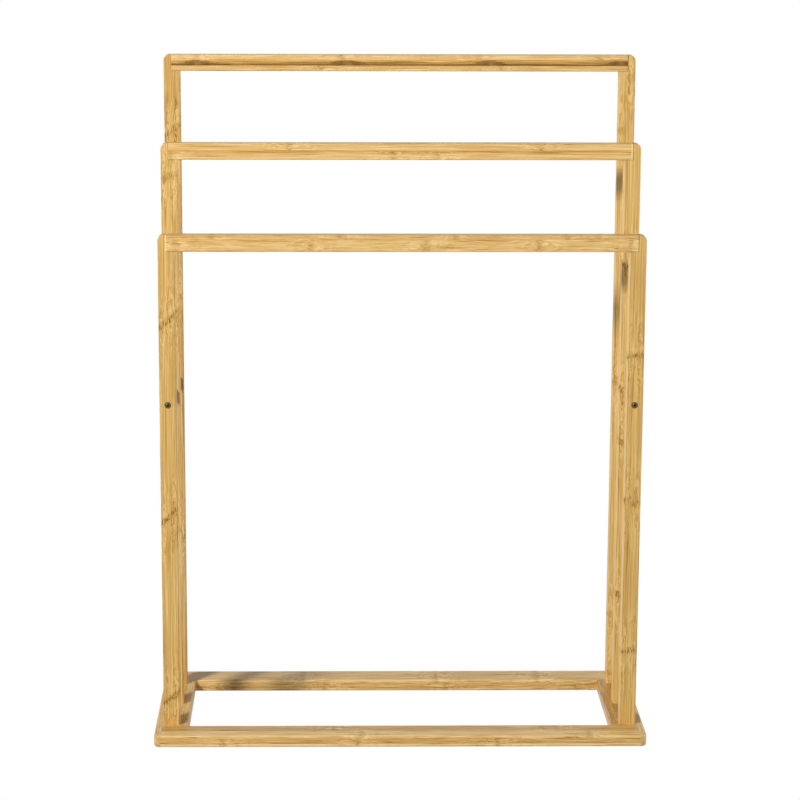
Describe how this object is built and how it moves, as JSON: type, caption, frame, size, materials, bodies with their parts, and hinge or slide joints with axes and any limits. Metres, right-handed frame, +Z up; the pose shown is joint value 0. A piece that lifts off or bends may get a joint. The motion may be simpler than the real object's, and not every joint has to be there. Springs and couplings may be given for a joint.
{
  "type": "towel rack",
  "caption": "Free-standing bamboo towel rack: a flat rectangular base frame carries upright posts with horizontal bars stepped in height from front to back.",
  "frame": {"origin": "on the floor under the middle of the base, at the bottom centre of the whole rack", "axes": "+X along the bars to the right as seen from the front, +Y from the front (lowest) bar to the rear (highest) bar, +Z up"},
  "size_m": [0.6, 0.25, 0.823],
  "materials": {
    "bamboo": "clear satin lacquer",
    "screw_steel": "dark plated",
    "insert_brass": "plain",
    "tenon_wood": "plain"
  },
  "bodies": {
    "root": {"base_side_rail_left": "bamboo", "base_side_rail_right": "bamboo", "base_front_rail": "bamboo", "base_rear_rail": "bamboo", "front_post_left": "bamboo", "front_post_right": "bamboo", "front_bar": "bamboo", "middle_post_left": "bamboo", "middle_post_right": "bamboo", "middle_bar": "bamboo", "rear_post_left": "bamboo", "rear_post_right": "bamboo", "rear_bar": "bamboo", "side_rod_left": "bamboo", "side_rod_right": "bamboo", "rod_screws": "screw_steel", "rod_inserts": "insert_brass", "bar_tenons": "tenon_wood", "foot_tenons": "tenon_wood", "corner_tenons": "tenon_wood"}
  },
  "joints": []
}
